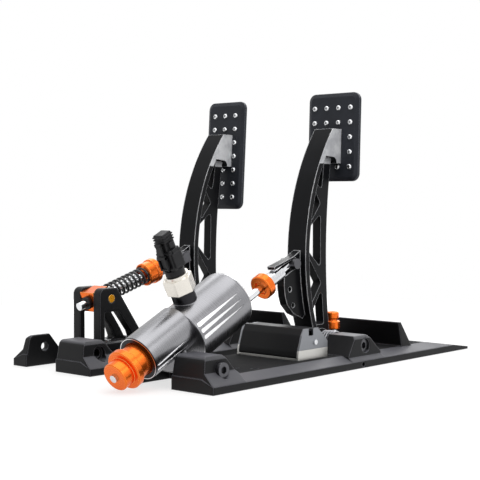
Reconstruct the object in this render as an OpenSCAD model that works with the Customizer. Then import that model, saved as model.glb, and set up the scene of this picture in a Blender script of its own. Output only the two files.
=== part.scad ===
// Two-pedal foot control for a driving simulator: hydraulic brake and sprung throttle, each on its own base.
// Millimetres. X to the driver's right, Y away from the driver, Z up.
// The origin is on the floor, midway between the two bases and midway along them.

/* [Bases] */
// Length of a base, from heel tip to toe
base_l = 405; // [400:1:415]
// Width of a base
base_w = 113; // [112:0.5:118]
// Distance from one base to the same edge of the next
base_pitch = 154; // [140:1:190]
// Height of the upright rim
rim_h = 6.5; // [5:0.5:8]
// Height of the deck
deck_h = 12; // [11:0.5:12.5]
// Width of the sloping margin beside the deck
margin_w = 14; // [10:0.5:16]
// Height of the toe blocks and axle stands
block_h = 30; // [29.5:0.5:33]
// Length of the heel ramp
heel_ramp_l = 67.5; // [55:0.5:75]
// Thickness of the heel tip
heel_tip_h = 2.5; // [2:0.5:4]
// Mechanism plane, off the middle of a base
mech_off = 14.5; // [14:0.25:15]
// Width of the notch between the toe blocks
toe_notch_w = 44; // [43.5:0.5:46]
// Length of the toe blocks and of the notch
toe_l = 42; // [40:0.5:44]
// Radius of the floor holes
floor_hole_r = 3.3; // [2.5:0.1:4.5]
// Floor holes, measured in from the sides
floor_hole_in = 22; // [20:0.5:24]
// Distance between front and rear floor holes
floor_hole_pitch = 250; // [244:1:256]
// Foot of the heel wall's front face
heel_wall_y = -93; // [-96:0.5:-88]
// Top of the heel wall
heel_wall_top = 36.7; // [30:0.1:42]
// Thickness of the heel wall and its gussets
heel_wall_t = 4; // [3:0.5:6]

/* [Pedal pivot] */
// Pivot axis, along the base
pivot_y = -21; // [-22:0.25:-20]
// Pivot axis, above the floor
pivot_z = 20; // [19:0.25:20.5]
// Radius of the pivot axle
axle_r = 5; // [4.5:0.25:5.5]
// Radius of the axle's head and nut
axle_head_r = 6.5; // [6.25:0.25:7]
// Left axle stand's face, from the mechanism plane
stand_left_gap = 32; // [31.5:0.5:34]
// Right axle stand's face, from the mechanism plane
stand_right_gap = 15; // [14:0.5:17]
// Outside radius of the pivot bushes
bush_r = 7.5; // [7:0.25:8]
// Radius of the arm's hub
hub_r = 13; // [12:0.5:13.5]
// Wire radius of the return spring
return_wire_r = 1.2; // [1:0.1:1.3]
// Turns of the return spring
return_turns = 5; // [4:1:5]

/* [Pedal arms] */
// Pivot axis to the top of an arm
arm_h = 213.4; // [208:0.2:220]
// Width of an arm
arm_w = 23; // [21:0.5:24]
// Thickness of the front flange
flange_t = 6; // [4:0.5:7]
// Width of the truss behind the flange
truss_w = 10; // [9:0.5:12]
// Thickness of the ear that takes the push rod
ear_t = 9; // [8:0.25:9.5]
// Push rod's seat, forward of the pivot
pin_u = 36; // [35:0.25:37]
// Push rod's seat, above the pivot
pin_v = 79; // [78:0.25:80]
// Radius of the cross barrels in the ears
pin_r = 5.2; // [4.75:0.05:5.4]
// Play of a cross barrel in its seat
seat_play = 0.8; // [0.7:0.05:1]
// Width of the ear's slot
slot_w = 9.5; // [9:0.1:10]
// Opening angle of the slot's upper side
slot_relief = 6.5; // [6.5:0.25:8]
// Lean of the resting throttle arm behind the brake's
throttle_back = 1.5; // [1:0.25:2]

/* [Pedal pads] */
// Width of the brake's pad
brake_pad_w = 64; // [60:1:70]
// Height of the brake's pad
brake_pad_h = 90; // [84:1:96]
// Width of the throttle's pad
throttle_pad_w = 54; // [48:1:58]
// Height of the throttle's pad
throttle_pad_h = 118.6; // [112:0.2:122]
// Thickness of a pad
pad_t = 5; // [4:0.5:6]
// Width of the bevel round the pads' front face
pad_bevel = 4; // [2:0.5:5]
// Depth of that bevel
pad_bevel_h = 2; // [1:0.25:3]
// Radius of the pads' corners
pad_corner_r = 8; // [6:0.5:10]
// Lean of the pads towards the driver
pad_lean = 2; // [0:0.25:4]
// Distance between pad studs
stud_pitch = 15; // [14.5:0.1:15.5]
// Radius of a stud's head
stud_head_r = 2.75; // [2.25:0.25:3.25]
// Radius of a stud's shank
stud_r = 1.75; // [1.5:0.25:2]

/* [Hydraulic cylinder] */
// Slope of the push rod and cylinder
cyl_slope = 26; // [25.5:0.1:26.2]
// Cylinder's bolt, along the base
bolt_y = 180; // [179:0.25:181]
// Cylinder's bolt, above the floor
bolt_z = 18; // [17.5:0.25:18.5]
// Radius of the cylinder's bolt
bolt_r = 4; // [3.5:0.25:4]
// Barrel's far end, down the slope from the rod's seat
barrel_end_s = 164; // [163:0.5:166]
// Length of the barrel
barrel_l = 72; // [71:0.5:73]
// Radius of the barrel
barrel_r = 28; // [27.5:0.25:28.5]
// Barrel's axis, above the push rod
barrel_up = 14; // [13.5:0.25:14.5]
// Sleeve's axis, above the push rod
sleeve_up = 24.5; // [24.25:0.25:25]
// Length of the sleeve
sleeve_l = 53; // [52:0.5:53.5]
// Radius of the sleeve
sleeve_r = 20.5; // [20:0.25:21]
// Bore radius of the elastomer chamber
chamber_r = 16; // [15.5:0.1:16.5]
// Bore radius of the master cylinder
master_bore_r = 9; // [8.5:0.1:9.1]
// Bore radius of the slave cylinder
slave_bore_r = 12; // [11.5:0.1:12.1]
// Radius of the brake's push rod
rod_r = 3.75; // [3.25:0.05:4]
// Radius of the rod's orange collar
collar_r = 12.25; // [11:0.25:13]
// Radius of the rod's ferrule
ferrule_r = 7; // [6.5:0.25:7.5]
// Radius of the preload knob's flange
knob_flange_r = 18; // [17:0.25:18.5]
// Radius of the preload knob's grip
knob_grip_r = 12.8; // [11.5:0.1:13]

/* [Pressure sensor] */
// Sensor's axis, down the slope from the rod's seat
sensor_s = 144.5; // [144:0.25:145.5]
// Radius of the sensor's boss
boss_r = 11; // [10.5:0.25:11.5]
// Hexagon of the sensor, across its flats
sensor_hex = 24; // [21:0.5:25]
// Width of the sensor's connector
connector_w = 20; // [18:0.5:22]

/* [Throttle spring unit] */
// Trunnion axis, along the base
trunnion_y = 129.5; // [129:0.25:130.5]
// Trunnion axis, above the floor
trunnion_z = 64; // [63.25:0.25:65]
// Radius of the trunnion pins
trunnion_r = 4; // [3.5:0.25:4.25]
// Gap between the bracket's side plates
bracket_gap = 20; // [19.8:0.1:21]
// Thickness of a bracket side plate
bracket_t = 10; // [8:0.5:10]
// Width of the trunnion block
block_w = 19.4; // [18:0.1:19.4]
// Radius of the throttle's push rod
throttle_rod_r = 4; // [3.5:0.1:4.2]
// Mean radius of the throttle spring
spring_r = 8.05; // [7.5:0.05:8.3]
// Wire radius of the throttle spring
spring_wire_r = 1.2; // [0.9:0.05:1.3]
// Turns of the throttle spring
spring_turns = 10; // [7:1:11]
// Radius of the spring cup's flange
cup_flange_r = 13; // [12.5:0.25:14]
// Radius of the spring cup's band
cup_band_r = 12; // [11.5:0.1:12.5]

/* [Control box] */
// Length across the base
box_w = 76; // [70:0.5:78]
// Near end, measured from the base's left edge
box_x = 22; // [20:0.5:24]
// Thickness of the end plates
end_plate_t = 2; // [1.5:0.25:2.5]
// Wall of the housing
box_wall = 2.5; // [2:0.25:3]

/* [Stop bumpers] */
// Radius of the lower disc
stop_r = 7.8; // [7.5:0.1:9]
// Stop's axis, across from the mechanism plane
stop_x = -3; // [-4:0.25:3]
// Play between a resting arm and its stop
stop_play = 0.3; // [0.25:0.05:0.6]

/* [Hidden] */
$fn = 64;
running = 0.05;
gap = 0.3;
far = 500;
base_y1 = bolt_y + 22.5;
base_y0 = base_y1 - base_l;
mech_x = base_w / 2 + mech_off;
stand_left_w = mech_x - stand_left_gap;
stand_right_w = base_w - mech_x - stand_right_gap;
brake_mid = mech_x - (base_pitch + base_w) / 2;
throttle_mid = brake_mid + base_pitch;
toe_y = base_y1 - toe_l;
toe_left_w = mech_x - toe_notch_w / 2;
toe_right_w = base_w - mech_x - toe_notch_w / 2;
bolt_head_r = 6.5;
bolt_head_h = 8;
bolt_socket_r = 3.5;
bolt_hole_r = bolt_r + 0.2;
bolt_recess_r = bolt_head_r + 0.5;
bolt_seat_x = 16.5;
bolt_nut_h = 6.5;
nut_seat_x = base_w - toe_right_w + 6;
axle_recess_r = axle_head_r + 0.25;
axle_head_l = 8;
axle_seat = 16;
heel_wall_in = 12;
heel_wall_lean = 6;
heel_gusset_y = -110;

// Places across a module, from the mechanism plane
edge_x0 = -mech_x;
edge_x1 = base_w - mech_x;
stand_x0 = edge_x0 + stand_left_w;
stand_x1 = edge_x1 - stand_right_w;
hub_x = arm_w / 2 + gap;

// Outlines of an arm, from its pivot: U forward, V up
front_curve = [[14, 14], [26.2, 84], [-17.4, arm_h]];
rear_curve = [[-21.7, 1], [-15.2, 85], [-19.4, 158]];
front_c = centre3(front_curve[0], front_curve[1], front_curve[2]);
front_r = norm(front_curve[1] - front_c);
rear_c = centre3(rear_curve[0], rear_curve[1], rear_curve[2]);
rear_r = norm(rear_curve[1] - rear_c);
head_v = arm_h - 35;
pad_u = -31.2;
pad_v = arm_h - 18.4;
pad_top_v = arm_h + 37;
stud_top = arm_h + 21.6 - pad_v;
pad_bolt_r = 3;
pad_bolt_head_r = 5;
pad_bolt_rows = [2, 3];

// Down the slope from the rod's seat
seat_y = pivot_y + pin_u;
seat_z = pivot_z + pin_v;
seat_r = pin_r + seat_play;
ferrule_s = 17;
ferrule_l = 23;
fork_gap = ear_t + 2 * gap;
beak_reach = 29.5;
collar_s = ferrule_s + ferrule_l + 1;
collar_l = 9;
barrel_s = barrel_end_s - barrel_l;
slave_s = barrel_end_s - 40;
master_s = barrel_s + 8;
master_l = slave_s + 10 - master_s;
piston_l = 12;
piston_s = master_s + 1;
sleeve_s = barrel_end_s;
chamber_s = sleeve_s + 2;
slave_piston_s = sensor_s + 7.5;
slave_piston_l = 10;
push_plate_t = 5;
stack_s = chamber_s + 1 + push_plate_t + gap;
ring_guide_l = 6;
knob_s = sleeve_s + sleeve_l + 12;
knob_flange_l = 7;
knob_grip_l = 11;
ring_s = sleeve_s + sleeve_l - 3 - ring_guide_l;
ring_r = 15;
stud_bolt_r = 3.5;
boss_v1 = 51;
hex_h = 17;
hex_v1 = boss_v1 + hex_h;
port_r = 1.5;
bolt_at = [bolt_y - seat_y, bolt_z - seat_z];
slope_d = [cos(cyl_slope), -sin(cyl_slope)];
slope_n = [sin(cyl_slope), cos(cyl_slope)];
bolt_s = bolt_at * slope_d;
bolt_up = bolt_at * slope_n;
lug_r = 8;
lug_w = 30;
lug_h = sleeve_up - bolt_up - 12;

// Down the throttle's rod from its seat
throttle_seat_y = pivot_y + pin_u * cos(throttle_back) - pin_v * sin(throttle_back);
throttle_seat_z = pivot_z + pin_u * sin(throttle_back) + pin_v * cos(throttle_back);
trunnion_at = [trunnion_y - throttle_seat_y, trunnion_z - throttle_seat_z];
throttle_slope = -atan2(trunnion_at[1], trunnion_at[0]);
trunnion_s = norm(trunnion_at);
block_s = trunnion_s - 6.3;
block_l = 19.5;
block_h_t = 20;
cup_s = 40;
cup_flange_l = 6;
cup_l = 17;
cup_recess = 4;
cup_recess_r = spring_r + spring_wire_r + 1.6;
spring_s = cup_s + cup_l - cup_recess;
spring_l = block_s - spring_s;
throttle_rod_end = block_s + block_l + 13;

black = [0.07, 0.07, 0.08];
graphite = [0.2, 0.2, 0.22];
slate = [0.16, 0.18, 0.22];
orange = [0.93, 0.36, 0.08];
steel = [0.74, 0.75, 0.77];
alloy = [0.62, 0.63, 0.65];
bronze = [0.66, 0.47, 0.25];
board_green = [0.08, 0.3, 0.16];

// Helpers
function unit(v) = v / norm(v);
function centre3(a, b, c) = let (
    d = 2 * (a[0] * (b[1] - c[1]) + b[0] * (c[1] - a[1]) + c[0] * (a[1] - b[1])),
    qa = a * a,
    qb = b * b,
    qc = c * c)
    [(qa * (b[1] - c[1]) + qb * (c[1] - a[1]) + qc * (a[1] - b[1])) / d,
     (qa * (c[0] - b[0]) + qb * (a[0] - c[0]) + qc * (b[0] - a[0])) / d];
function sweep(from, to) = (to - from + 540) % 360 - 180;
function corner(a, b, c, r, n) = let (
    u = unit(a - b),
    w = unit(c - b),
    half = acos(max(-1, min(1, u * w))) / 2,
    o = b + unit(u + w) * r / sin(half),
    p = b + u * r / tan(half) - o,
    q = b + w * r / tan(half) - o,
    a0 = atan2(p[1], p[0]),
    da = sweep(a0, atan2(q[1], q[0])))
    [for (k = [0:n]) o + r * [cos(a0 + da * k / n), sin(a0 + da * k / n)]];
function rounded(p, r, n = 6) = let (m = len(p))
    [for (i = [0:m - 1]) each corner(p[(i + m - 1) % m], p[i], p[(i + 1) % m], r, n)];
function pad_face_u(v) = pad_u - (v - pad_v) * tan(pad_lean);

// A profile drawn in Y and Z, swept along X
module along_x(x0, x1) translate([x0, 0, 0]) rotate([90, 0, 90]) linear_extrude(x1 - x0) children();
module mid_x(w) along_x(-w / 2, w / 2) children();
// A profile drawn in X and Z, swept back from y1 to y0
module along_y(y0, y1) translate([0, y1, 0]) rotate([90, 0, 0]) linear_extrude(y1 - y0) children();
module bar_x(r, x0, x1) translate([x0, 0, 0]) rotate([0, 90, 0]) cylinder(r = r, h = x1 - x0);
module bar_z(r, z0, z1) translate([0, 0, z0]) cylinder(r = r, h = z1 - z0);
module in_brake() translate([brake_mid, 0, 0]) children();
module in_throttle() translate([throttle_mid, 0, 0]) children();
module at_pivot() translate([0, pivot_y, pivot_z]) children();
// The throttle's pedal, leaning back about its pivot
module in_throttle_pedal() in_throttle() at_pivot() rotate([throttle_back, 0, 0])
    translate([0, -pivot_y, -pivot_z]) children();
// Local Z runs down the slope, local -Y stands square above it
module on_rod() in_brake() translate([0, seat_y, seat_z]) rotate([-90 - cyl_slope, 0, 0]) children();
module on_barrel() on_rod() translate([0, -barrel_up, 0]) children();
module on_sleeve() on_rod() translate([0, -sleeve_up, 0]) children();
module on_sensor() on_rod() translate([0, 0, sensor_s]) rotate([90, 0, 0]) children();
module on_throttle_rod() in_throttle() translate([0, throttle_seat_y, throttle_seat_z])
    rotate([-90 - throttle_slope, 0, 0]) children();
// Local Y runs up a pad, local Z points at the driver, the pad's front face at zero
module on_pad() at_pivot() translate([0, pad_u, pad_v]) rotate([90 + pad_lean, 0, 0]) children();

// Wound springs: one wire along a helix about Z, its ends running straight
ring_sides = 6;
rings_per_turn = 8;
function helix(r, turns, pitch) = [for (i = [0:turns * rings_per_turn])
    let (a = 360 * i / rings_per_turn) [r * cos(a), r * sin(a), pitch * i / rings_per_turn]];
function with_tails(path, tail) = let (n = len(path) - 1) concat(
    [path[0] - tail * unit([path[1][0] - path[0][0], path[1][1] - path[0][1], 0])], path,
    [path[n] + tail * unit([path[n][0] - path[n - 1][0], path[n][1] - path[n - 1][1], 0])]);
function wire_ring(path, i, r) = let (
    t = unit(path[min(i + 1, len(path) - 1)] - path[max(i - 1, 0)]),
    side = unit(cross(t, [path[i][0], path[i][1], 0])),
    out = cross(side, t))
    [for (k = [0:ring_sides - 1]) let (a = 360 * k / ring_sides) path[i] + r * (cos(a) * out + sin(a) * side)];
function self_gap(path, r) = min([for (i = [0:len(path) - 1])
    for (j = [i + rings_per_turn / 2:1:len(path) - 1]) norm(path[j] - path[i])]) - 2 * r;
module wound_wire(path, r) {
    n = len(path);
    points = [for (i = [0:n - 1]) each wire_ring(path, i, r)];
    last = (n - 1) * ring_sides;
    walls = [for (i = [0:n - 2]) for (k = [0:ring_sides - 1]) let (
        a = i * ring_sides + k,
        b = i * ring_sides + (k + 1) % ring_sides)
        each [[a, a + ring_sides, b], [b, a + ring_sides, b + ring_sides]]];
    caps = [for (k = [1:ring_sides - 2]) each [[0, k, k + 1], [last, last + k + 1, last + k]]];
    polyhedron(points = points, faces = concat(walls, caps));
}

// Bases, the same casting under both pedals
toe_flank = [12, 10];
stand_flank = [5, 4];
flank_lean = 1.5;
crown = 3;
function flank(w, f) = [[0, 0], [0, rim_h], [f[0], rim_h + f[1]], [f[0] + flank_lean, block_h - crown],
    [f[0] + flank_lean + crown, block_h], [w, block_h], [w, 0]];
toe_side = concat([[base_y1, 0], [base_y1, rim_h]],
    corner([base_y1, rim_h], [base_y1 - 5, block_h], [base_y1 - 28.5, block_h], 6, 6),
    [[base_y1 - 28.5, block_h], [toe_y, deck_h + 2], [toe_y, 0]]);
stand_front = 28;
stand_rear = 25;
stand_y1 = pivot_y + stand_front;
stand_y0 = pivot_y - stand_rear;
stand_side = [[stand_y1, 0], [stand_y1, deck_h], [stand_y1 - 13, block_h], [stand_y0 + 19, block_h],
    [stand_y0, deck_h], [stand_y0, 0]];
wall_side = [[heel_wall_y, deck_h - 1], [heel_wall_y + heel_wall_lean, heel_wall_top],
    [heel_wall_y + heel_wall_lean - heel_wall_t, heel_wall_top], [heel_wall_y - heel_wall_t, deck_h - 1]];
gusset_side = [wall_side[0], wall_side[1], wall_side[2], [heel_gusset_y, deck_h], [heel_gusset_y, deck_h - 1]];
deck_hole = [30, 153];
deck_hole_r = 5;
deck_dot_r = 1.6;
deck_hole_depth = 6;
deck_dots = [[36, 132], [44, 131], [48, 133]];
rim_hole_y = -10;
rim_hole_r = 2.4;
rim_hole_depth = 10;
hub_room = 1;

module mirrored() {
    children();
    translate([base_w, 0, 0]) mirror([1, 0, 0]) children();
}
module base_slab() intersection() {
    along_y(base_y0, base_y1) polygon([[0, 0], [0, rim_h], [margin_w, deck_h],
        [base_w - margin_w, deck_h], [base_w, rim_h], [base_w, 0]]);
    along_x(0, base_w) polygon([[base_y1, 0], [base_y1, deck_h], [base_y0 + heel_ramp_l, deck_h],
        [base_y0, heel_tip_h], [base_y0, 0]]);
}
module toe_block(w) intersection() {
    along_y(toe_y, base_y1) polygon(flank(w, toe_flank));
    along_x(0, w) polygon(toe_side);
}
module axle_stand(w) intersection() {
    along_y(stand_y0, stand_y1) polygon(flank(w, stand_flank));
    along_x(0, w) polygon(stand_side);
}
module heel_wall() {
    x0 = heel_wall_in;
    x1 = base_w - heel_wall_in;
    along_x(x0, x1) polygon(wall_side);
    along_x(x0, x0 + heel_wall_t) polygon(gusset_side);
    along_x(x1 - heel_wall_t, x1) polygon(gusset_side);
}
module base_casting() difference() {
    union() {
        base_slab();
        toe_block(toe_left_w);
        translate([base_w, 0, 0]) mirror([1, 0, 0]) toe_block(toe_right_w);
        axle_stand(stand_left_w);
        translate([base_w, 0, 0]) mirror([1, 0, 0]) axle_stand(stand_right_w);
        heel_wall();
    }
    translate([toe_left_w, toe_y, -1]) cube([toe_notch_w, toe_l + 1, block_h + 2]);
    for (x = [floor_hole_in, base_w - floor_hole_in]) for (s = [-1, 1])
        translate([x, s * floor_hole_pitch / 2, 0]) bar_z(floor_hole_r, -1, block_h);
    translate([0, bolt_y, bolt_z]) {
        bar_x(bolt_hole_r, -1, base_w + 1);
        bar_x(bolt_recess_r, -1, bolt_seat_x);
        bar_x(bolt_recess_r, nut_seat_x, base_w + 1);
    }
    translate([0, pivot_y, pivot_z]) {
        bar_x(axle_r + running, -1, base_w + 1);
        mirrored() bar_x(axle_recess_r, -1, axle_seat);
        bar_x(hub_r + hub_room, stand_left_w, base_w - stand_right_w);
    }
    translate([deck_hole[0], deck_hole[1], 0]) bar_z(deck_hole_r, deck_h - deck_hole_depth, deck_h + 1);
    for (d = deck_dots) translate([d[0], d[1], 0]) bar_z(deck_dot_r, deck_h - deck_hole_depth, deck_h + 1);
    translate([0, rim_hole_y, rim_h / 2]) bar_x(rim_hole_r, -1, rim_hole_depth);
}
module brake_base() color(black) in_brake() translate([edge_x0, 0, 0]) base_casting();
module throttle_base() color(black) in_throttle() translate([edge_x0, 0, 0]) base_casting();

// Pivot axles with their nuts, spacers, return spring and angle sensor
axle_x0 = edge_x0 + axle_seat;
axle_x1 = edge_x1 - axle_seat;
spacer_r = axle_r + 3;
return_r = spacer_r + return_wire_r + 1.2;
return_pitch = 2 * return_wire_r + 0.8;
return_path = with_tails(helix(return_r, return_turns, return_pitch), 2 * return_wire_r);
module pivot_axle() at_pivot() {
    bar_x(axle_r, axle_x0 - 1, axle_x1 + axle_head_l);
    difference() {
        bar_x(axle_head_r, axle_x0 - axle_head_l, axle_x0);
        translate([axle_x0 - axle_head_l - 1, 0, 0]) rotate([0, 90, 0]) cylinder(r = 3.5, h = 5, $fn = 6);
    }
}
module spacer(x0, x1, r) at_pivot() difference() {
    bar_x(r, x0, x1);
    bar_x(axle_r + running, x0 - 1, x1 + 1);
}
module brake_axle() color(steel) in_brake() pivot_axle();
module throttle_axle() color(steel) in_throttle() pivot_axle();
module axle_nut() at_pivot() difference() {
    bar_x(axle_head_r, axle_x1, axle_x1 + axle_head_l - 1);
    bar_x(axle_r + running, axle_x1 - 1, axle_x1 + axle_head_l);
}
module axle_nuts() color(steel) {
    in_brake() axle_nut();
    in_throttle() axle_nut();
}
module axle_spacers() color(graphite) {
    in_brake() {
        spacer(stand_x0, -hub_x, spacer_r);
        spacer(hub_x, stand_x1, spacer_r);
    }
    in_throttle() spacer(stand_x0, -hub_x, spacer_r);
}
module brake_return_spring() color(steel) in_brake() at_pivot()
    translate([stand_x0 + return_wire_r + gap, 0, 0]) rotate([0, 90, 0]) wound_wire(return_path, return_wire_r);
echo(return_spring_gap = self_gap(return_path, return_wire_r));
module throttle_angle_sensor() color(graphite) in_throttle() spacer(hub_x, stand_x1, 11);

// Stop bumpers behind the arms
stop_z = 29;
stop_v = stop_z + 1 - pivot_z;
stop_y = pivot_y + rear_c[0] + sqrt(rear_r * rear_r - pow(stop_v - rear_c[1], 2)) - stop_r - stop_play;
stop_bolt_r = 3;
stop_h = 18;
stop_neck_r = 5.5;
// The throttle's stop stands back by its arm's lean
throttle_stop_back = (stop_z + stop_h - pivot_z) * sin(throttle_back);
module at_stop() translate([stop_x, stop_y, 0]) children();
module stop_bumper() at_stop() difference() {
    rotate_extrude() polygon([[0, stop_z], [stop_r - 1, stop_z], [stop_r, stop_z + 1], [stop_r, stop_z + 8],
        [stop_r - 1, stop_z + 9], [stop_neck_r, stop_z + 9], [stop_neck_r, stop_z + 10.6],
        [stop_r - 1.5, stop_z + 10.6], [stop_r - 1, stop_z + 11.6], [stop_r - 1, stop_z + stop_h - 1],
        [stop_r - 2, stop_z + stop_h], [0, stop_z + stop_h]]);
    bar_z(stop_bolt_r + running, 0, far);
}
module stop_post() at_stop() {
    bar_z(stop_neck_r, deck_h, stop_z);
    bar_z(stop_bolt_r, stop_z - 1, stop_z + stop_h - 2);
}
module stop_bumpers() color(orange) {
    in_brake() stop_bumper();
    in_throttle() translate([0, -throttle_stop_back, 0]) stop_bumper();
}
module stop_posts() color(steel) {
    in_brake() stop_post();
    in_throttle() translate([0, -throttle_stop_back, 0]) stop_post();
}

// Pedal arms: curved front flange, truss behind it, head for the pad, ear for the push rod
openings = [
    [[-12, 183], [-4, 185], [6, 162], [-7.5, 152]],
    [[5, 154], [-5.5, 138], [13.7, 114.7]],
    [[16, 111], [-6, 128], [-6, 73], [16, 93]],
    [[17.3, 90], [-7, 58], [12, 33]],
    [[-8, 52], [8.5, 28], [4, 16], [-12, 16]]];
module behind_front_2d(t) translate(front_c) circle(r = front_r - t, $fn = 180);
module flange_2d() intersection() {
    difference() {
        behind_front_2d(0);
        behind_front_2d(flange_t);
    }
    translate([-60, front_curve[0][1]]) square([120, arm_h - front_curve[0][1]]);
}
module truss_2d() difference() {
    intersection() {
        behind_front_2d(1);
        translate([-40, 0]) square([80, head_v + 6]);
    }
    translate(rear_c) circle(r = rear_r, $fn = 180);
    for (p = openings) polygon(rounded(p, 2.5));
}
module head_2d() difference() {
    intersection() {
        behind_front_2d(1);
        polygon([[pad_face_u(head_v), head_v], [pad_face_u(arm_h), arm_h], [40, arm_h], [40, head_v]]);
    }
    polygon(rounded([[-24, head_v - 20], [-24, head_v + 6], [6, head_v + 8], [30, head_v - 20]], 6));
}
module ear_2d() {
    slot_half = slot_w / 2;
    difference() {
        polygon([[18, 96], [pin_u, pin_v + 7], [pin_u + 30, pin_v - 2], [pin_u + 28.4, pin_v - 5.5],
            [pin_u + 14, pin_v - 1], [pin_u + 14.6, pin_v - 16], [pin_u + 14.6, pin_v - 21.5],
            [pin_u + 13, pin_v - 32], [pin_u + 10, pin_v - 40], [pin_u, pin_v - 49.5], [22, 24], [16, 30]]);
        translate([pin_u, pin_v]) {
            circle(r = seat_r);
            rotate(-cyl_slope) polygon([[0, -slot_half], [60, -slot_half],
                [60, slot_half + 60 * tan(slot_relief)], [0, slot_half]]);
            translate([6, -25]) circle(r = 2.5);
            translate([1, -41]) circle(r = 2.2);
        }
    }
}
module pedal_arm() difference() {
    at_pivot() difference() {
        union() {
            mid_x(arm_w) flange_2d();
            mid_x(truss_w) truss_2d();
            mid_x(arm_w) head_2d();
            mid_x(arm_w) circle(r = hub_r);
            mid_x(ear_t) ear_2d();
        }
        bar_x(bush_r, -arm_w, arm_w);
    }
    on_pad() at_pad_bolts() bar_z(pad_bolt_r + running, -15, 1);
}
module brake_arm() color(black) in_brake() pedal_arm();
module throttle_arm() color(black) in_throttle_pedal() pedal_arm();
module pivot_bushes() at_pivot() difference() {
    for (s = [-1, 1]) bar_x(bush_r, s * 6 - 5, s * 6 + 5);
    bar_x(axle_r + running, -arm_w, arm_w);
}
module brake_bushes() color(bronze) in_brake() pivot_bushes();
module throttle_bushes() color(bronze) in_throttle_pedal() pivot_bushes();

// Pads with their studs and bolts
brake_studs = [for (i = [0:4]) for (c = [-22.5, -7.5, 7.5, 22.5])
    if (abs(c) > 10 || (i != 2 && i != 3)) [c / 15, i]];
throttle_studs = [for (i = [0:6]) for (c = [-1, 0, 1]) if (c != 0 || (i != 2 && i != 3)) [c, i]];
module at_studs(list) for (p = list) translate([p[0] * stud_pitch, stud_top - p[1] * stud_pitch, 0]) children();
module at_pad_bolts() for (i = pad_bolt_rows) translate([0, stud_top - i * stud_pitch, 0]) children();
module pad_plate(w, h, list) {
    top = pad_top_v - pad_v;
    x = w / 2 - pad_corner_r;
    difference() {
        hull() for (sx = [-x, x]) for (y = [top - pad_corner_r, top - h + pad_corner_r]) translate([sx, y, 0]) {
            cylinder(r1 = pad_corner_r - pad_bevel, r2 = pad_corner_r, h = pad_bevel_h, $fn = 32);
            translate([0, 0, pad_bevel_h]) cylinder(r = pad_corner_r, h = pad_t - pad_bevel_h, $fn = 32);
        }
        at_studs(list) bar_z(stud_r + running, -1, pad_t + 1);
        at_pad_bolts() {
            bar_z(pad_bolt_r + running, -1, pad_t + 1);
            bar_z(pad_bolt_head_r + running, pad_t - 2.5, pad_t + 1);
        }
    }
}
module stud() rotate_extrude() polygon([[0, -1.8], [stud_head_r - 1, -1.8], [stud_head_r - 0.3, -1.3],
    [stud_head_r, -0.6], [stud_head_r, 0], [stud_r, 0], [stud_r, pad_t], [stud_r + 0.75, pad_t],
    [stud_r + 0.5, pad_t + 1], [0, pad_t + 1.2]]);
module pad_bolt() difference() {
    union() {
        bar_z(pad_bolt_r, -14, pad_t - 2);
        bar_z(pad_bolt_head_r, pad_t - 2.5, pad_t);
    }
    translate([0, 0, pad_t - 1.8]) cylinder(r = 2.3, h = 3, $fn = 6);
}
module brake_pad() color(slate) in_brake() on_pad() pad_plate(brake_pad_w, brake_pad_h, brake_studs);
module throttle_pad() color(slate) in_throttle_pedal() on_pad()
    pad_plate(throttle_pad_w, throttle_pad_h, throttle_studs);
module brake_pad_studs() color(steel) in_brake() on_pad() at_studs(brake_studs) stud();
module throttle_pad_studs() color(steel) in_throttle_pedal() on_pad() at_studs(throttle_studs) stud();
module brake_pad_bolts() color(steel) in_brake() on_pad() at_pad_bolts() pad_bolt();
module throttle_pad_bolts() color(steel) in_throttle_pedal() on_pad() at_pad_bolts() pad_bolt();

// Brake cylinder: barrel over the rod, sleeve ahead of it, bolted between the toe blocks
groove_w = 4;
groove_depth = 1;
barrel_groove_l = 60;
sleeve_groove_l = 44;
barrel_grooves = [2, 15, 28];
sleeve_grooves = [-13, -31];
// Tapered grooves in both flanks, from the end at s towards the pedal
module flank_grooves(r, angles, s, l) for (turn = [for (a = angles) each [-a, 180 + a]])
    rotate(turn) translate([r - groove_depth, 0, s]) rotate([0, 90, 0]) linear_extrude(5) {
        translate([groove_w, 0]) circle(d = groove_w);
        polygon([[groove_w, -groove_w / 2], [l, -0.3], [l, 0.3], [groove_w, groove_w / 2]]);
    }
module cylinder_barrel() color(graphite) difference() {
    union() {
        on_barrel() translate([0, 0, barrel_s]) difference() {
            rotate_extrude() polygon(concat([[0, 0]], corner([0, 0], [barrel_r, 0], [barrel_r, barrel_l], 5, 6),
                [[barrel_r, barrel_l], [0, barrel_l]]));
            flank_grooves(barrel_r, barrel_grooves, barrel_l, barrel_groove_l);
        }
        on_sensor() bar_z(boss_r, sleeve_up, boss_v1);
    }
    on_rod() {
        bar_z(rod_r + running, 0, master_s + 1);
        bar_z(master_bore_r, master_s, master_s + master_l);
        translate([0, 0, slave_s + 4]) rotate([90, 0, 0]) cylinder(r = port_r, h = sleeve_up);
    }
    on_sleeve() bar_z(slave_bore_r, slave_s, far);
    on_sensor() bar_z(port_r, sleeve_up, far);
}
module elastomer_sleeve() color(graphite) difference() {
    union() {
        on_sleeve() difference() {
            bar_z(sleeve_r, sleeve_s, sleeve_s + sleeve_l);
            flank_grooves(sleeve_r, sleeve_grooves, sleeve_s + sleeve_l, sleeve_groove_l);
        }
        on_rod() translate([0, -bolt_up, bolt_s]) {
            bar_x(lug_r, -lug_w / 2, lug_w / 2);
            translate([-lug_w / 2, -lug_h, -lug_r]) cube([lug_w, lug_h, 2 * lug_r]);
        }
    }
    on_sleeve() {
        bar_z(slave_bore_r, 0, chamber_s + 1);
        bar_z(chamber_r, chamber_s, far);
    }
    on_rod() translate([0, -bolt_up, bolt_s]) bar_x(bolt_r + running, -lug_w, lug_w);
}
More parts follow.
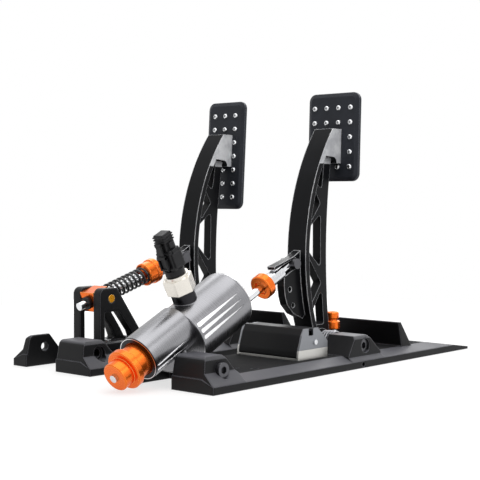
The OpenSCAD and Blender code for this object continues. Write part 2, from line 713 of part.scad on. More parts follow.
module cylinder_bolt() color(steel) in_brake() translate([edge_x0, bolt_y, bolt_z]) difference() {
    union() {
        bar_x(bolt_head_r, bolt_seat_x - bolt_head_h, bolt_seat_x);
        bar_x(bolt_r, bolt_seat_x - 1, nut_seat_x + bolt_nut_h + 0.5);
    }
    translate([bolt_seat_x - bolt_head_h - 1, 0, 0]) rotate([0, 90, 0])
        cylinder(r = bolt_socket_r, h = 5, $fn = 6);
}
module cylinder_bolt_nut() color(steel) in_brake() translate([edge_x0 + nut_seat_x, bolt_y, bolt_z])
    difference() {
        rotate([0, 90, 0]) cylinder(r = bolt_head_r, h = bolt_nut_h, $fn = 6);
        bar_x(bolt_r + running, -1, bolt_nut_h + 1);
    }

// Pressure sensor standing on the sleeve's boss
module sensor_body() color(steel) on_sensor() {
    translate([0, 0, boss_v1]) cylinder(r = sensor_hex / sqrt(3), h = hex_h - 3, $fn = 6);
    bar_z(sensor_hex / 2 - 1, boss_v1 + 1, hex_v1);
}
module sensor_connector() color(black) on_sensor() {
    w = connector_w;
    bar_z(w / 2 - 1, hex_v1, hex_v1 + 6);
    translate([-w / 2, -w / 2 + 2, hex_v1 + 6]) cube([w, w - 4, 18]);
    translate([-w / 2 + 2, -w / 2 + 3.5, hex_v1 + 24]) difference() {
        cube([w - 4, w - 7, 17]);
        translate([2, 2, 9]) cube([w - 8, w - 11, 9]);
    }
}
module sensor_latch() color(black) on_sensor() translate([0, connector_w / 2 - 2, hex_v1]) {
    translate([-5, 0, 8]) cube([10, 3, 14]);
    translate([-3.5, 0, 22]) cube([7, 2, 12]);
}

// Brake's push rod, master piston on its end
module brake_rod() color(steel) on_rod() bar_z(rod_r, pin_r - 1.5, piston_s + piston_l - 3);
module rod_cross_barrel() color(steel) on_rod() difference() {
    bar_x(pin_r, -arm_w / 2 + 2, arm_w / 2 - 2);
    bar_z(rod_r + running, pin_r - 2, 2 * pin_r);
}
module rod_ferrule() color(steel) on_rod() difference() {
    rotate_extrude() polygon([[rod_r + running, ferrule_s], [ferrule_r - 1, ferrule_s],
        [ferrule_r, ferrule_s + 1], [ferrule_r, ferrule_s + ferrule_l],
        [rod_r + running, ferrule_s + ferrule_l]]);
    translate([-fork_gap / 2, -far / 2, 0]) cube([fork_gap, far, beak_reach]);
}
module rod_washer() color(black) on_rod() difference() {
    bar_z(ferrule_r + 1.5, ferrule_s + ferrule_l, collar_s);
    bar_z(rod_r + running, 0, far);
}
module rod_collar() color(orange) on_rod() difference() {
    rotate_extrude() polygon([[rod_r + running, collar_s], [collar_r - 1, collar_s], [collar_r, collar_s + 1],
        [collar_r, collar_s + collar_l - 1], [collar_r - 1, collar_s + collar_l],
        [rod_r + 3, collar_s + collar_l], [rod_r + 2, collar_s + collar_l - 2],
        [rod_r + running, collar_s + collar_l - 2]]);
    translate([0, 0, collar_s + collar_l / 2]) bar_x(1.5, 5, far);
}
seal_r = 1.1;
module seal(r, s) translate([0, 0, s]) rotate_extrude() translate([r - seal_r, 0]) circle(r = seal_r, $fn = 24);
module master_piston() color(alloy) on_rod() difference() {
    bar_z(master_bore_r - running, piston_s, piston_s + piston_l);
    bar_z(rod_r + running, 0, piston_s + piston_l - 3);
    translate([0, 0, piston_s + piston_l / 2 - 1.3]) difference() {
        bar_z(far, 0, 2.6);
        bar_z(master_bore_r - 2 * seal_r - 2 * running, -1, 4);
    }
}
module master_seal() color(black) on_rod() seal(master_bore_r - running, piston_s + piston_l / 2);
module slave_piston() color(alloy) on_sleeve() {
    difference() {
        bar_z(slave_bore_r - running, slave_piston_s, slave_piston_s + slave_piston_l);
        translate([0, 0, slave_piston_s + slave_piston_l / 2 - 1.3]) difference() {
            bar_z(far, 0, 2.6);
            bar_z(slave_bore_r - 2 * seal_r - 2 * running, -1, 4);
        }
    }
    bar_z(6, slave_piston_s + slave_piston_l - 1, chamber_s + 2);
    bar_z(chamber_r - 1, chamber_s + 1, chamber_s + 1 + push_plate_t);
}
module slave_seal() color(black) on_sleeve() seal(slave_bore_r - running, slave_piston_s + slave_piston_l / 2);
elastomer_count = 3;
elastomer_r = chamber_r - 1.5;
elastomer_gap = 0.1;
module elastomer_stack() color(graphite) on_sleeve() {
    each_l = (ring_s - gap - stack_s) / elastomer_count;
    for (i = [0:elastomer_count - 1]) difference() {
        cut = i < elastomer_count - 1 ? elastomer_gap : 0;
        bar_z(elastomer_r, stack_s + i * each_l, stack_s + (i + 1) * each_l - cut);
        bar_z(4, 0, far);
    }
}

// Preload adjuster at the sleeve's end
module preload_ring() color(orange) on_sleeve() difference() {
    union() {
        bar_z(chamber_r - running, ring_s, ring_s + ring_guide_l);
        bar_z(ring_r, ring_s + ring_guide_l - 1, knob_s);
    }
    bar_z(stud_bolt_r + running, 0, far);
}
knob_end_s = knob_s + knob_flange_l + knob_grip_l;
module preload_stud() color(steel) on_sleeve() bar_z(stud_bolt_r, ring_s, knob_end_s + 2);
module preload_knob() color(orange) on_sleeve() difference() {
    union() {
        rotate_extrude() polygon([[0, knob_s + 0.1], [knob_flange_r - 0.8, knob_s + 0.1],
            [knob_flange_r, knob_s + 0.9], [knob_flange_r, knob_s + knob_flange_l - 1],
            [knob_flange_r - 1, knob_s + knob_flange_l], [0, knob_s + knob_flange_l]]);
        rotate_extrude() polygon([[0, knob_s + knob_flange_l - 1], [knob_grip_r, knob_s + knob_flange_l - 1],
            [knob_grip_r, knob_end_s - 1], [knob_grip_r - 1, knob_end_s], [0, knob_end_s]]);
    }
    bar_z(stud_bolt_r + running, 0, far);
}

// Throttle: rod through a swivelling block on an A-shaped bracket, spring between block and cup
bracket_foot_h = 6;
bracket_y0 = trunnion_y - 53;
bracket_y1 = trunnion_y + 17;
boss_out_r = 10.4;
// Side plate, from the trunnion axis: front leg, rounded head, slanting rear leg
floor_v = deck_h - trunnion_z;
sill_v = floor_v + bracket_foot_h + 2;
plate_head = concat([[15, floor_v]], corner([15, floor_v], [15, boss_out_r], [-7, boss_out_r], 7, 6),
    [[-7, boss_out_r], [-39, -35], [-49, floor_v]]);
plate_window = [[9.3, -13], [9.3, sill_v], [-31, sill_v], [-26.7, -34], [-9.9, -13]];
screw_r = 2.5;
module at_bracket_screws() for (y = [bracket_y0 + 8, bracket_y1 - 23]) for (x = [-1, 1])
    translate([x * (bracket_gap / 2 - 5), y, 0]) children();
module throttle_bracket() color(black) in_throttle() difference() {
    union() {
        for (x = [-bracket_gap / 2 - bracket_t, bracket_gap / 2])
            along_x(x, x + bracket_t) translate([trunnion_y, trunnion_z]) {
            difference() {
                polygon(plate_head);
                polygon(rounded(plate_window, 2));
            }
            circle(r = boss_out_r);
        }
        mid_x(bracket_gap + 2 * bracket_t) polygon([[bracket_y0, deck_h], [bracket_y1, deck_h],
            [bracket_y1 - 2, deck_h + bracket_foot_h], [bracket_y0 + 4, deck_h + bracket_foot_h]]);
    }
    translate([0, trunnion_y, trunnion_z]) bar_x(trunnion_r + running, -far / 2, far / 2);
    at_bracket_screws() bar_z(screw_r + running, 0, far);
}
module bracket_screws() color(steel) in_throttle() at_bracket_screws() difference() {
    union() {
        bar_z(screw_r, deck_h, deck_h + bracket_foot_h + 1);
        bar_z(screw_r + 2, deck_h + bracket_foot_h, deck_h + bracket_foot_h + 4);
    }
    translate([0, 0, deck_h + bracket_foot_h + 2]) cylinder(r = 2, h = 3, $fn = 6);
}
module trunnion_block() color(orange) on_throttle_rod() difference() {
    translate([-block_w / 2, -block_h_t / 2, block_s]) cube([block_w, block_h_t, block_l]);
    bar_z(throttle_rod_r + running, 0, far);
    translate([0, 0, trunnion_s]) bar_x(trunnion_r + running, -far / 2, far / 2);
}
module trunnion_pins() color(orange) on_throttle_rod() translate([0, 0, trunnion_s]) {
    pin_in = throttle_rod_r + 0.7;
    pin_out = bracket_gap / 2 + bracket_t;
    bar_x(trunnion_r, -pin_out, -pin_in);
    bar_x(trunnion_r, pin_in, pin_out);
}
module block_bush() color(black) on_throttle_rod() difference() {
    bar_z(throttle_rod_r + 2.5, block_s + block_l, block_s + block_l + 4);
    bar_z(throttle_rod_r + running, 0, far);
}
module throttle_rod() color(steel) on_throttle_rod() bar_z(throttle_rod_r, beak_reach + 3, throttle_rod_end);
fork_w = 19;
fork_t = 12;
module throttle_fork() color(steel) on_throttle_rod() difference() {
    translate([-fork_w / 2, -fork_t / 2, -6]) cube([fork_w, fork_t, cup_s + 6]);
    translate([-fork_gap / 2, -far / 2, -far]) cube([fork_gap, far, far + beak_reach + 2]);
    bar_x(pin_r + running, -far / 2, far / 2);
    bar_z(throttle_rod_r + running, beak_reach, far);
}
module fork_pin() color(steel) on_throttle_rod() bar_x(pin_r, -fork_w / 2 - 0.5, fork_w / 2 + 0.5);
module spring_cup() color(orange) on_throttle_rod() difference() {
    rotate_extrude() polygon([[throttle_rod_r + running, cup_s], [cup_flange_r - 1, cup_s],
        [cup_flange_r, cup_s + 1], [cup_flange_r, cup_s + cup_flange_l], [cup_band_r, cup_s + cup_flange_l],
        [cup_band_r, cup_s + cup_l - 1], [cup_band_r - 1, cup_s + cup_l],
        [cup_recess_r, cup_s + cup_l],
        [cup_recess_r, spring_s], [throttle_rod_r + running, spring_s]]);
}
spring_pitch = (spring_l - 2 * gap - 2 * spring_wire_r) / spring_turns;
spring_path = with_tails(helix(spring_r, spring_turns, spring_pitch), 2 * spring_wire_r);
module throttle_spring() color(black) on_throttle_rod() translate([0, 0, spring_s + gap + spring_wire_r])
    wound_wire(spring_path, spring_wire_r);
echo(throttle_spring_gap = self_gap(spring_path, spring_wire_r));

// Control box across the brake's base
box_x0 = edge_x0 + box_x;
box_x1 = box_x0 + box_w;
tray_t = 2;
tray_h = 9.3;
box_y0 = 18.5;
box_y1 = 63.3;
box_side = rounded([[box_y1, deck_h + tray_t], [62.5, 20], [57.4, 35], [53.5, 41.2], [33.3, 40.8],
    [box_y0, 27.6], [box_y0, deck_h + tray_t]], 1);
box_notch = [40.5, 34.2, 7];
control_screw_at = [37.5, 27.5];
control_screw_r = 1.5;
module above_tray_2d() translate([-far, deck_h + tray_h]) square([2 * far, far]);
module control_housing() color(black) in_brake()
    along_x(box_x0 + end_plate_t, box_x1 - end_plate_t) difference() {
    polygon(box_side);
    offset(delta = -box_wall) polygon(box_side);
    translate([21, 0]) square([39.5, deck_h + 6]);
}
module control_floor() color(alloy) in_brake() {
    translate([box_x0, box_y0, deck_h]) cube([box_w, box_y1 - box_y0, tray_t]);
    for (x = [box_x0, box_x1 - end_plate_t]) along_x(x, x + end_plate_t) difference() {
        polygon(box_side);
        above_tray_2d();
    }
}
socket_y = [30, 42];
socket_z = [24, 31];
module control_end_plates() color(alloy) in_brake() difference() {
    for (x = [box_x0, box_x1 - end_plate_t]) along_x(x, x + end_plate_t) difference() {
        intersection() {
            polygon(box_side);
            above_tray_2d();
        }
        translate([box_notch[0], box_notch[1]]) square([box_notch[2], far]);
    }
    translate([0, control_screw_at[0], control_screw_at[1]])
        bar_x(control_screw_r + running, box_x0 - 1, box_x0 + end_plate_t + 1);
    translate([box_x1 - end_plate_t - 1, socket_y[0], socket_z[0]])
        cube([end_plate_t + 2, socket_y[1] - socket_y[0], socket_z[1] - socket_z[0]]);
}
module control_screws() color(steel) in_brake() translate([0, control_screw_at[0], control_screw_at[1]]) {
    bar_x(control_screw_r + 1, box_x0 - 1.2, box_x0);
    bar_x(control_screw_r, box_x0 - 0.2, box_x0 + 5);
}
module data_socket() color(steel) in_brake() difference() {
    translate([box_x1 - 14, socket_y[0] + 0.2, socket_z[0] + 0.2])
        cube([14, socket_y[1] - socket_y[0] - 0.4, socket_z[1] - socket_z[0] - 0.4]);
    translate([box_x1 - 10, socket_y[0] + 1, socket_z[0] + 1])
        cube([11, socket_y[1] - socket_y[0] - 2, socket_z[1] - socket_z[0] - 2]);
}
module circuit_board() color(board_green) in_brake() {
    translate([box_x0 + 6, 24, 22.4]) cube([box_w - 14, 32, 1.6]);
    translate([box_x0 + 20, 34, 23.9]) cube([14, 14, 2]);
    for (y = [25.5, 52.5]) for (x = [box_x0 + 10, box_x1 - 14])
        translate([x, y, deck_h + tray_t]) cube([4, 2, 8.5]);
}

brake_base();
throttle_base();
brake_axle();
throttle_axle();
axle_nuts();
axle_spacers();
brake_return_spring();
throttle_angle_sensor();
stop_posts();
stop_bumpers();
brake_arm();
brake_bushes();
brake_pad();
brake_pad_studs();
brake_pad_bolts();
throttle_arm();
throttle_bushes();
throttle_pad();
throttle_pad_studs();
throttle_pad_bolts();
cylinder_bolt();
cylinder_bolt_nut();
cylinder_barrel();
elastomer_sleeve();
sensor_body();
sensor_connector();
sensor_latch();
brake_rod();
rod_cross_barrel();
rod_ferrule();
rod_washer();
rod_collar();
master_piston();
master_seal();
slave_piston();
slave_seal();
elastomer_stack();
preload_ring();
preload_stud();
preload_knob();
throttle_bracket();
bracket_screws();
trunnion_block();
trunnion_pins();
block_bush();
throttle_rod();
throttle_fork();
fork_pin();
spring_cup();
throttle_spring();
control_housing();
control_floor();
control_end_plates();
control_screws();
circuit_board();
data_socket();
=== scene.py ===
import math

import bmesh
import bpy
from mathutils import Matrix, Vector


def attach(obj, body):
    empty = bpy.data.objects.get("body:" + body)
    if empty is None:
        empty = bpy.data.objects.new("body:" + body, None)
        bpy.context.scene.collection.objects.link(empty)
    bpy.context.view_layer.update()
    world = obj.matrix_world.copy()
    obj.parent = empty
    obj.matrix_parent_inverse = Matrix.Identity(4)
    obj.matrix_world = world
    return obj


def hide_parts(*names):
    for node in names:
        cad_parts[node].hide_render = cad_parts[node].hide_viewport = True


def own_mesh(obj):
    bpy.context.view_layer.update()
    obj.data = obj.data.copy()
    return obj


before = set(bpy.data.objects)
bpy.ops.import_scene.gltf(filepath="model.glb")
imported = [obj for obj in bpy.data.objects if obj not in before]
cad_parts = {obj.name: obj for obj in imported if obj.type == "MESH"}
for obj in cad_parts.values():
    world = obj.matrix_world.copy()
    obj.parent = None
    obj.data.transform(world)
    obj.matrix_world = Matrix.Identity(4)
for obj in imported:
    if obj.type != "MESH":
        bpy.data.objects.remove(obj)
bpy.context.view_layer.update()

scene = bpy.context.scene
scene.view_settings.view_transform = "Standard"
print("frame loaded:", len(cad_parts), "nodes")

# camera at the photograph's place
view = {
    "place": (-0.7933, 0.9108, 0.1661),
    "right": (-0.7471, -0.6647, 0.0),
    "up": (0.0253, -0.0284, 0.9993),
    "lens": 88.155,
    "sensor": 36.0,
}


def setCamera(v):
    cam = bpy.data.cameras.new("camera")
    cam.lens = v["lens"]
    cam.sensor_width = v["sensor"]
    cam.clip_start = 0.01
    obj = bpy.data.objects.new("camera", cam)
    right = Vector(v["right"]).normalized()
    up = Vector(v["up"]).normalized()
    back = right.cross(up).normalized()
    up = back.cross(right)
    turn = Matrix((right, up, back)).transposed().to_4x4()
    obj.matrix_world = Matrix.Translation(v["place"]) @ turn
    scene.collection.objects.link(obj)
    scene.camera = obj


setCamera(view)
print("camera set")

# places shared with the solids, in metres
brakeX = -0.0625
throttleX = 0.0915
brakeSeat = (0.015, 0.099)  # push rods' seats in the arms: y, z
throttleSeat = (0.01292, 0.09992)
trunnion = (0.1295, 0.064)
pivot = (-0.021, 0.020)
throttleLean = math.radians(1.5)
brakeSlope = math.radians(26.0)
throttleSlope = math.atan2(throttleSeat[1] - trunnion[1], trunnion[0] - throttleSeat[0])
barrelUp = 0.014
sleeveUp = 0.0245


def onSlope(x, slope, up=0.0):  # local z runs down the slope from the seat, local -y stands above it
    seat = throttleSeat if x > 0 else brakeSeat
    place = Matrix.Translation((x, seat[0], seat[1]))
    turn = Matrix.Rotation(-math.pi / 2 - slope, 4, "X")
    return place @ turn @ Matrix.Translation((0, -up, 0))


onRod = onSlope(brakeX, brakeSlope)
onSleeve = onSlope(brakeX, brakeSlope, sleeveUp)
onThrottleRod = onSlope(throttleX, throttleSlope)


# small helpers for shader trees
def addNode(tree, kind, inputs=None, **settings):
    made = tree.nodes.new("ShaderNode" + kind)
    for key, value in settings.items():
        setattr(made, key, value)
    for key, value in (inputs or {}).items():
        if isinstance(value, bpy.types.NodeSocket):
            tree.links.new(value, made.inputs[key])
        else:
            made.inputs[key].default_value = value
    return made


def newFinish(name, colour, rough, metal=0.0, specular=0.5):
    mat = bpy.data.materials.new(name)
    mat.use_nodes = True
    tree = mat.node_tree
    shader = tree.nodes["Principled BSDF"]
    shader.inputs["Base Color"].default_value = (*colour, 1)
    shader.inputs["Roughness"].default_value = rough
    shader.inputs["Metallic"].default_value = metal
    shader.inputs["Specular IOR Level"].default_value = specular
    return mat, tree, shader


def calc(tree, operation, a, b=None, clamp=False):
    inputs = {0: a} if b is None else {0: a, 1: b}
    return addNode(tree, "Math", inputs, operation=operation, use_clamp=clamp).outputs[0]


def ramp(tree, value, low, high, toLow=0.0, toHigh=1.0):
    inputs = {"Value": value, "From Min": low, "From Max": high, "To Min": toLow, "To Max": toHigh}
    return addNode(tree, "MapRange", inputs, interpolation_type="SMOOTHSTEP").outputs["Result"]


def blendColour(tree, fac, a, b):
    made = addNode(tree, "Mix", data_type="RGBA")
    for socket, value in ((made.inputs[0], fac), (made.inputs[6], a), (made.inputs[7], b)):
        if isinstance(value, bpy.types.NodeSocket):
            tree.links.new(value, socket)
        elif isinstance(value, tuple):
            socket.default_value = (*value, 1)
        else:
            socket.default_value = value
    return made.outputs[2]


def spotNoise(tree, scale, detail=3.0, rough=0.55, vector=None):
    where = vector or addNode(tree, "TexCoord").outputs["Object"]
    inputs = {"Vector": where, "Scale": scale, "Detail": detail, "Roughness": rough}
    return addNode(tree, "TexNoise", inputs).outputs["Fac"]


def roundedNormal(tree, radius):
    return addNode(tree, "Bevel", {"Radius": radius}, samples=6).outputs["Normal"]


def edgeMask(tree, radius, low=0.02, high=0.16):  # 1 along the edges, 0 on the faces
    soft = roundedNormal(tree, radius)
    true = addNode(tree, "NewGeometry").outputs["Normal"]
    dot = addNode(tree, "VectorMath", {0: soft, 1: true}, operation="DOT_PRODUCT").outputs["Value"]
    return ramp(tree, calc(tree, "SUBTRACT", 1.0, dot), low, high)


def bumpFrom(tree, shader, height, strength, distance, normal=None):
    inputs = {"Height": height, "Strength": strength, "Distance": distance}
    if normal is not None:
        inputs["Normal"] = normal
    made = addNode(tree, "Bump", inputs)
    tree.links.new(made.outputs["Normal"], shader.inputs["Normal"])


def axisSpot(tree, x, slope, up=0.0):  # distance along a sloping axis and out from it
    middle = onSlope(x, slope, up) @ Vector((0, 0, 0))
    spot = addNode(tree, "TexCoord").outputs["Object"]
    off = addNode(tree, "VectorMath", {0: spot, 1: middle}, operation="SUBTRACT").outputs[0]
    turned = addNode(tree, "VectorRotate", {"Vector": off, "Angle": slope}, rotation_type="X_AXIS")
    part = addNode(tree, "SeparateXYZ", {0: turned.outputs[0]})
    across = addNode(tree, "CombineXYZ", {0: part.outputs[0], 1: part.outputs[2]}).outputs[0]
    out = addNode(tree, "VectorMath", {0: across}, operation="LENGTH").outputs["Value"]
    return part.outputs[1], out


def shade(colour, factor):
    return tuple(factor * k for k in colour)


def colourFrom(tree, shader, tone):
    tree.links.new(tone, shader.inputs["Base Color"])


def roughFrom(tree, shader, value, low, high, fromLow=0.3, fromHigh=0.7):
    tree.links.new(ramp(tree, value, fromLow, fromHigh, low, high), shader.inputs["Roughness"])


def latheMarks(tree, along, out, scale):
    lines = addNode(tree, "CombineXYZ", {0: along, 1: out}).outputs[0]
    return spotNoise(tree, scale, 4.0, 0.7, lines)


def dress(mat, *nodes):
    for name in nodes:
        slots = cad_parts[name].data.materials
        slots.clear()
        slots.append(mat)


# finishes
castCoat = {
    "colour": (0.0055, 0.0056, 0.0065),
    "dusty": (0.010, 0.010, 0.012),
    # edge colour: partly wear, partly a painted highlight on the rounded edges
    "wearAndHighlight": (0.16, 0.16, 0.18),
    # painted sheen: paler tone for the up-facing faces outside the deck
    "paintedSheen": (0.100, 0.100, 0.113),
    "deckRough": (0.80, 0.92),
    "flankRough": (0.42, 0.52),
    "deckTop": 0.0122,
    "specular": 0.20,
}


def castFinish(name, c):  # powder coat: matte deck, painted sheen as a paler tone on the other up-facing faces
    mat, tree, shader = newFinish(name, c["colour"], 0.32, 0.0, c["specular"])
    cloud = spotNoise(tree, 28.0)
    edge = edgeMask(tree, 0.0015)
    grain = spotNoise(tree, 1500.0, 2.0)
    dust = ramp(tree, cloud, 0.42, 0.75, 0.0, 0.45)
    tone = blendColour(tree, dust, c["colour"], c["dusty"])
    up = addNode(tree, "SeparateXYZ", {0: addNode(tree, "NewGeometry").outputs["Normal"]}).outputs[2]
    height = addNode(tree, "SeparateXYZ", {0: addNode(tree, "TexCoord").outputs["Object"]}).outputs[2]
    low = ramp(tree, height, c["deckTop"], c["deckTop"] + 0.001, 1.0, 0.0)
    level = calc(tree, "MULTIPLY", ramp(tree, up, 0.95, 0.99), low)
    # painted sheen: up-facing faces outside the deck are painted a paler tone where the lamps' sheen falls
    paintedSheenFaces = calc(tree, "MULTIPLY", ramp(tree, up, 0.55, 0.85), calc(tree, "SUBTRACT", 1.0, level))
    tone = blendColour(tree, paintedSheenFaces, tone, c["paintedSheen"])
    # lighter edges: partly wear, partly a painted highlight along the rounded edges
    tone = blendColour(tree, calc(tree, "MULTIPLY", edge, 0.8), tone, c["wearAndHighlight"])
    colourFrom(tree, shader, tone)
    deck = ramp(tree, cloud, 0.25, 0.75, *c["deckRough"])
    flank = ramp(tree, cloud, 0.25, 0.75, *c["flankRough"])
    rough = addNode(tree, "Mix", {0: level, 2: flank, 3: deck}, data_type="FLOAT").outputs[0]
    tree.links.new(rough, shader.inputs["Roughness"])
    bumpFrom(tree, shader, grain, 0.08, 0.00025, roundedNormal(tree, 0.003))
    return mat


armCoat = {
    "colour": (0.0080, 0.0084, 0.0098),
    "dusty": (0.015, 0.0155, 0.018),
    "line": (0.80, 0.81, 0.85),
    "bare": (0.92, 0.93, 0.95),
    "mottle": (0.66, 0.67, 0.70),
    "specular": 0.10,
    "cheekBottom": pivot[1] + 0.1784,
    "curve": ((0.014, 0.014), (0.0262, 0.084), (-0.0174, 0.2134)),
}


def circleThrough(a, b, c):
    d = 2 * (a[0] * (b[1] - c[1]) + b[0] * (c[1] - a[1]) + c[0] * (a[1] - b[1]))
    qa, qb, qc = (p[0] ** 2 + p[1] ** 2 for p in (a, b, c))
    u = (qa * (b[1] - c[1]) + qb * (c[1] - a[1]) + qc * (a[1] - b[1])) / d
    v = (qa * (c[0] - b[0]) + qb * (a[0] - c[0]) + qc * (b[0] - a[0])) / d
    return u, v, math.hypot(b[0] - u, b[1] - v)


def armFinish(name, lean, c):  # black arms with machined bright edges and bare head cheeks
    mat, tree, shader = newFinish(name, c["colour"], 0.34, 0.0, c["specular"])
    u, v, radius = circleThrough(*c["curve"])
    spot = addNode(tree, "TexCoord").outputs["Object"]
    upright = {"Vector": spot, "Center": (0, *pivot), "Angle": -lean}
    spot = addNode(tree, "VectorRotate", upright, rotation_type="X_AXIS").outputs[0]
    part = addNode(tree, "SeparateXYZ", {0: spot})
    fromCurve = addNode(tree, "CombineXYZ", {
        0: calc(tree, "SUBTRACT", part.outputs[1], pivot[0] + u),
        1: calc(tree, "SUBTRACT", part.outputs[2], pivot[1] + v),
    }).outputs[0]
    reach = addNode(tree, "VectorMath", {0: fromCurve}, operation="LENGTH").outputs["Value"]
    facing = addNode(tree, "SeparateXYZ", {0: addNode(tree, "NewGeometry").outputs["Normal"]}).outputs[0]
    side = ramp(tree, calc(tree, "ABSOLUTE", facing), 0.8, 0.95)
    head = ramp(tree, part.outputs[2], c["cheekBottom"] - 0.001, c["cheekBottom"])
    cheek = calc(tree, "MULTIPLY", side, head)
    edge = edgeMask(tree, 0.0014, 0.02, 0.09)
    rim = ramp(tree, reach, radius - 0.0022, radius - 0.0012)
    edge = calc(tree, "MULTIPLY", edge, rim)
    grain = spotNoise(tree, 1300.0, 2.0)
    cloud = spotNoise(tree, 35.0)
    rolled = spotNoise(tree, 60.0, 4.0)
    coat = blendColour(tree, ramp(tree, cloud, 0.4, 0.75, 0.0, 0.5), c["colour"], c["dusty"])
    bare = blendColour(tree, ramp(tree, rolled, 0.35, 0.6), c["mottle"], c["bare"])
    thin = edgeMask(tree, 0.0010, 0.03, 0.14)
    coat = blendColour(tree, calc(tree, "MULTIPLY", thin, 0.85), coat, c["line"])
    shown = calc(tree, "MAXIMUM", cheek, edge)
    colourFrom(tree, shader, blendColour(tree, shown, coat, bare))
    tree.links.new(calc(tree, "MULTIPLY", shown, 0.15), shader.inputs["Metallic"])
    roughFrom(tree, shader, cloud, 0.28, 0.40)
    bumpFrom(tree, shader, grain, 0.10, 0.0002, roundedNormal(tree, 0.0009))
    return mat


padCoat = {
    "colour": (0.026, 0.029, 0.037),
    "dusty": (0.044, 0.048, 0.060),
    "edge": (0.24, 0.25, 0.29),
    "rough": (0.36, 0.5),
}


def padFinish(c):  # fine-textured coat, rubbed lighter round the plate's rim
    mat, tree, shader = newFinish("padCoat", c["colour"], 0.42, 0.0, 0.2)
    cloud = spotNoise(tree, 45.0)
    grain = spotNoise(tree, 2200.0, 2.0)
    edge = edgeMask(tree, 0.0014)
    tone = blendColour(tree, ramp(tree, cloud, 0.35, 0.75, 0.0, 0.6), c["colour"], c["dusty"])
    tone = blendColour(tree, calc(tree, "MULTIPLY", edge, 0.85), tone, c["edge"])
    colourFrom(tree, shader, tone)
    roughFrom(tree, shader, cloud, *c["rough"], 0.25, 0.75)
    bumpFrom(tree, shader, grain, 0.22, 0.0003, roundedNormal(tree, 0.0012))
    return mat


turned = {
    "colour": (0.27, 0.27, 0.283),
    "groove": (0.93, 0.93, 0.94),
    "edge": (0.16, 0.16, 0.17),
    "boss": (0.030, 0.030, 0.033),
    "bossFrom": 0.0282,
    "rough": 0.28,
    "spread": (0.85, 1.12),
}


# anodised, with lathe lines and bare grooves
def turnedFinish(name, x, slope, up, grooveFrom, grooveTo, lipFrom, c):
    mat, tree, shader = newFinish(name, c["colour"], c["rough"], 1.0)
    along, out = axisSpot(tree, x, slope, up)
    marks = latheMarks(tree, along, out, 2600.0)
    cloud = spotNoise(tree, 22.0)
    bottom = calc(tree, "MULTIPLY", ramp(tree, out, grooveFrom, grooveFrom + 0.0001),
                  ramp(tree, out, grooveTo, grooveTo + 0.0001, 1.0, 0.0))
    darker, lighter = (shade(c["colour"], factor) for factor in c["spread"])
    tone = blendColour(tree, cloud, darker, lighter)
    tone = blendColour(tree, edgeMask(tree, 0.0008), tone, c["edge"])
    raised = ramp(tree, out, c["bossFrom"], c["bossFrom"] + 0.0004)
    lip = ramp(tree, along, lipFrom, lipFrom + 0.0003)
    tone = blendColour(tree, calc(tree, "MAXIMUM", raised, lip), tone, c["boss"])
    colourFrom(tree, shader, blendColour(tree, bottom, tone, c["groove"]))
    roughFrom(tree, shader, marks, c["rough"] - 0.03, c["rough"] + 0.04)
    bumpFrom(tree, shader, marks, 0.03, 0.00012, roundedNormal(tree, 0.0008))
    return mat


# pale: painted highlight colour for the edges of the orange parts
orangeDye = {"colour": (0.92, 0.170, 0.014), "pale": (1.0, 0.62, 0.18), "rough": 0.25, "metal": 0.78}
pinDye = {**orangeDye, "colour": (0.94, 0.40, 0.012)}


def orangeFinish(name, x, slope, up, c):
    mat, tree, shader = newFinish(name, c["colour"], c["rough"], c["metal"])
    along, out = axisSpot(tree, x, slope, up)
    marks = latheMarks(tree, along, out, 2200.0)
    cloud = spotNoise(tree, 60.0)
    tone = blendColour(tree, ramp(tree, cloud, 0.3, 0.75), c["colour"], shade(c["colour"], 1.06))
    # painted highlight: edges are painted pale yellow-orange
    tone = blendColour(tree, edgeMask(tree, 0.0007), tone, c["pale"])
    colourFrom(tree, shader, tone)
    roughFrom(tree, shader, marks, c["rough"] - 0.03, c["rough"] + 0.04)
    bumpFrom(tree, shader, marks, 0.02, 0.00012, roundedNormal(tree, 0.0008))
    return mat


def steelFinish(name, colour, rough, scale=900.0, edge=0.0005):  # plated hardware with fine handling marks
    mat, tree, shader = newFinish(name, colour, rough, 1.0)
    scuff = spotNoise(tree, scale, 5.0, 0.7)
    cloud = spotNoise(tree, 70.0)
    colourFrom(tree, shader, blendColour(tree, cloud, shade(colour, 0.82), colour))
    roughFrom(tree, shader, scuff, rough - 0.06, rough + 0.09)
    bumpFrom(tree, shader, scuff, 0.05, 0.0001, roundedNormal(tree, edge))
    return mat


studGrid = {
    "pitch": 0.015,
    "top": 0.040,
    "padAt": (-0.0312, 0.195),
    "padLean": math.radians(2.0),
    "socket": 0.0013,
    "plate": ((0.74, 0.75, 0.77), (0.92, 0.93, 0.94)),
    # painted shade colour for each stud's socket recess
    "paintedSocketShade": (0.03, 0.03, 0.032),
    "clear": 20.5,  # pitches added to keep the steps positive, with a stud at the middle of each
}


